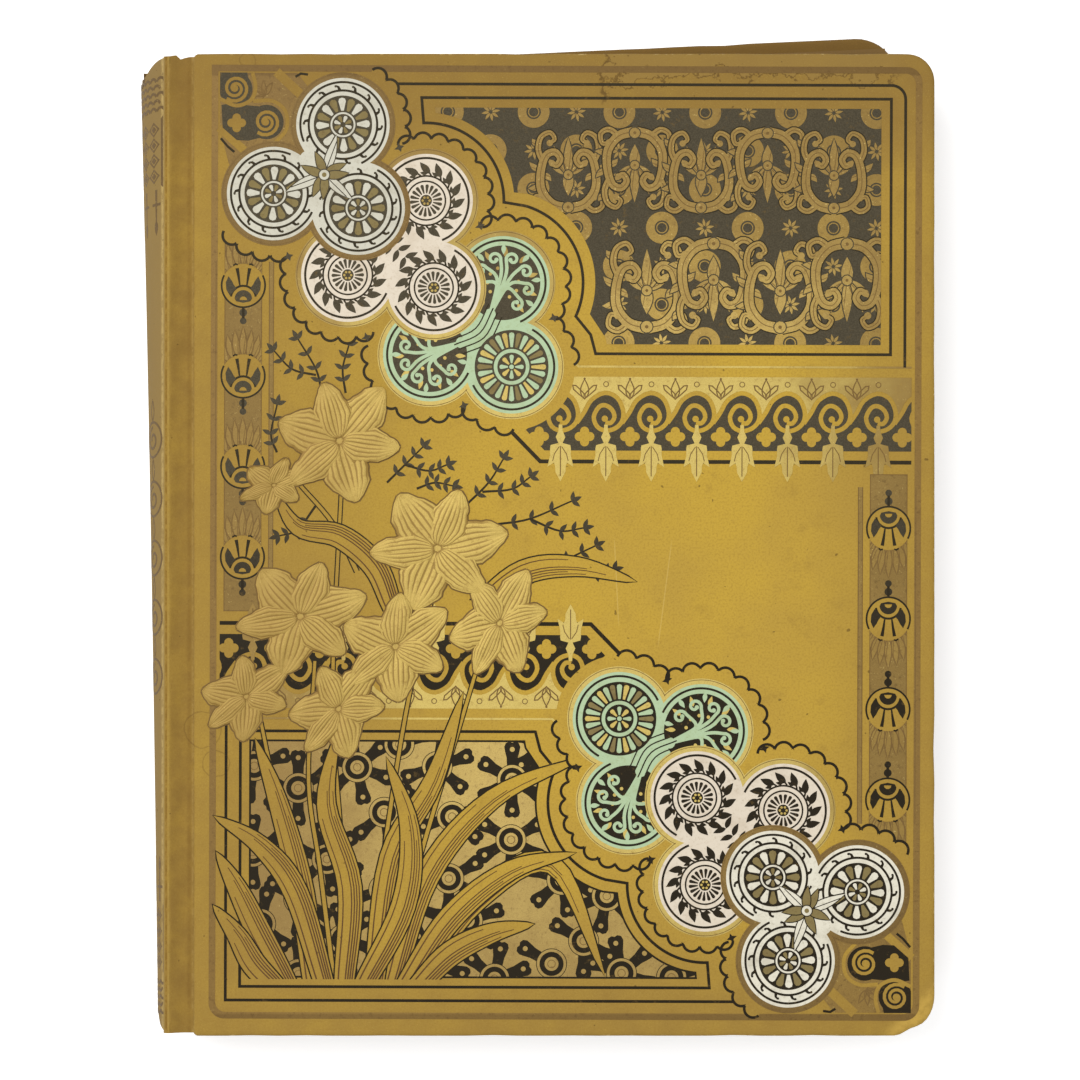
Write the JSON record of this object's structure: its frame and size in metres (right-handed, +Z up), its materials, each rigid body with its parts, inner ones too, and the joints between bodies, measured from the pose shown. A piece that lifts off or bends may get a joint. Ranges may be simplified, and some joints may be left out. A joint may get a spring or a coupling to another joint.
{
  "type": "cloth-bound scrapbook",
  "caption": "Large cloth-bound scrapbook: two hinged covers on a rounded spine, with guarded leaves that turn with the front cover.",
  "frame": {"origin": "on the outer face of the rear cover, under the middle of the front cover", "axes": "+X from the spine to the fore-edge, +Y from tail to head, +Z up from the rear cover to the front cover"},
  "size_m": [0.2736, 0.3407, 0.0385],
  "materials": {
    "book_cloth": "satin",
    "millboard": "matte",
    "card": "matte",
    "endpaper": "matte",
    "lining_paper": "matte",
    "open_weave_cloth": "matte",
    "linen_tape": "matte",
    "linen_thread": "matte",
    "banding": "matte",
    "guard_paper": "matte",
    "leaf_paper": "matte"
  },
  "bodies": {
    "text_block": {"spine_cloth": "book_cloth", "spine_stiffener": "card", "spine_lining": "lining_paper", "backing_cloth": "open_weave_cloth", "head_band": "banding", "tail_band": "banding", "sewing_tapes": "linen_tape", "sewing_thread": "linen_thread", "section_1_guards": "guard_paper", "section_2_guards": "guard_paper", "section_3_guards": "guard_paper", "section_4_guards": "guard_paper", "section_5_guards": "guard_paper", "section_6_guards": "guard_paper", "section_7_guards": "guard_paper", "section_8_guards": "guard_paper"},
    "front_cover": {"front_board": "millboard", "front_cover_cloth": "book_cloth", "front_pastedown": "endpaper"},
    "rear_cover": {"rear_board": "millboard", "rear_cover_cloth": "book_cloth", "rear_pastedown": "endpaper"},
    "front_endleaf": {"front_flyleaf": "endpaper"},
    "rear_endleaf": {"rear_flyleaf": "endpaper"},
    "section_1": {"section_1_leaves": "leaf_paper"},
    "section_2": {"section_2_leaves": "leaf_paper"},
    "section_3": {"section_3_leaves": "leaf_paper"},
    "section_4": {"section_4_leaves": "leaf_paper"},
    "section_5": {"section_5_leaves": "leaf_paper"},
    "section_6": {"section_6_leaves": "leaf_paper"},
    "section_7": {"section_7_leaves": "leaf_paper"},
    "section_8": {"section_8_leaves": "leaf_paper"}
  },
  "joints": [
    {"name": "front_cover_hinge", "type": "hinge", "parent": "text_block", "child": "front_cover", "pos_m": [-0.1335, 0, 0.0373], "axis": [0, -1, 0], "range_deg": [0, 180]},
    {"name": "rear_cover_hinge", "type": "hinge", "parent": "text_block", "child": "rear_cover", "pos_m": [-0.13586, -0.00176, 0.0012], "axis": [-0.0454, 0.999, 0], "range_deg": [0, 180]},
    {"name": "front_endleaf_turn", "type": "hinge", "parent": "text_block", "child": "front_endleaf", "pos_m": [-0.1335, 0, 0.0373], "axis": [0, -1, 0], "range_deg": [0, 179.1]},
    {"name": "rear_endleaf_turn", "type": "hinge", "parent": "text_block", "child": "rear_endleaf", "pos_m": [-0.13586, -0.00176, 0.0012], "axis": [-0.0454, 0.999, 0], "range_deg": [0, 178.2]},
    {"name": "section_1_turn", "type": "hinge", "parent": "text_block", "child": "section_1", "pos_m": [-0.1335, 0, 0.0373], "axis": [0, -1, 0], "range_deg": [0, 177.3]},
    {"name": "section_2_turn", "type": "hinge", "parent": "text_block", "child": "section_2", "pos_m": [-0.1335, 0, 0.0373], "axis": [0, -1, 0], "range_deg": [0, 174.6]},
    {"name": "section_3_turn", "type": "hinge", "parent": "text_block", "child": "section_3", "pos_m": [-0.1335, 0, 0.0373], "axis": [0, -1, 0], "range_deg": [0, 171.9]},
    {"name": "section_4_turn", "type": "hinge", "parent": "text_block", "child": "section_4", "pos_m": [-0.1335, 0, 0.0373], "axis": [0, -1, 0], "range_deg": [0, 169.2]},
    {"name": "section_5_turn", "type": "hinge", "parent": "text_block", "child": "section_5", "pos_m": [-0.1335, 0, 0.0373], "axis": [0, -1, 0], "range_deg": [0, 10.8]},
    {"name": "section_6_turn", "type": "hinge", "parent": "text_block", "child": "section_6", "pos_m": [-0.1335, 0, 0.0373], "axis": [0, -1, 0], "range_deg": [0, 8.1]},
    {"name": "section_7_turn", "type": "hinge", "parent": "text_block", "child": "section_7", "pos_m": [-0.1335, 0, 0.0373], "axis": [0, -1, 0], "range_deg": [0, 5.4]},
    {"name": "section_8_turn", "type": "hinge", "parent": "text_block", "child": "section_8", "pos_m": [-0.1335, 0, 0.0373], "axis": [0, -1, 0], "range_deg": [0, 2.7]}
  ],
  "couplings": [
    {"joint": "front_endleaf_turn", "follows": "front_cover_hinge", "ratio": 0.995},
    {"joint": "rear_endleaf_turn", "follows": "rear_cover_hinge", "ratio": 0.99},
    {"joint": "section_1_turn", "follows": "front_cover_hinge", "ratio": 0.985},
    {"joint": "section_2_turn", "follows": "front_cover_hinge", "ratio": 0.97},
    {"joint": "section_3_turn", "follows": "front_cover_hinge", "ratio": 0.955},
    {"joint": "section_4_turn", "follows": "front_cover_hinge", "ratio": 0.94},
    {"joint": "section_5_turn", "follows": "front_cover_hinge", "ratio": 0.06},
    {"joint": "section_6_turn", "follows": "front_cover_hinge", "ratio": 0.045},
    {"joint": "section_7_turn", "follows": "front_cover_hinge", "ratio": 0.03},
    {"joint": "section_8_turn", "follows": "front_cover_hinge", "ratio": 0.015}
  ]
}
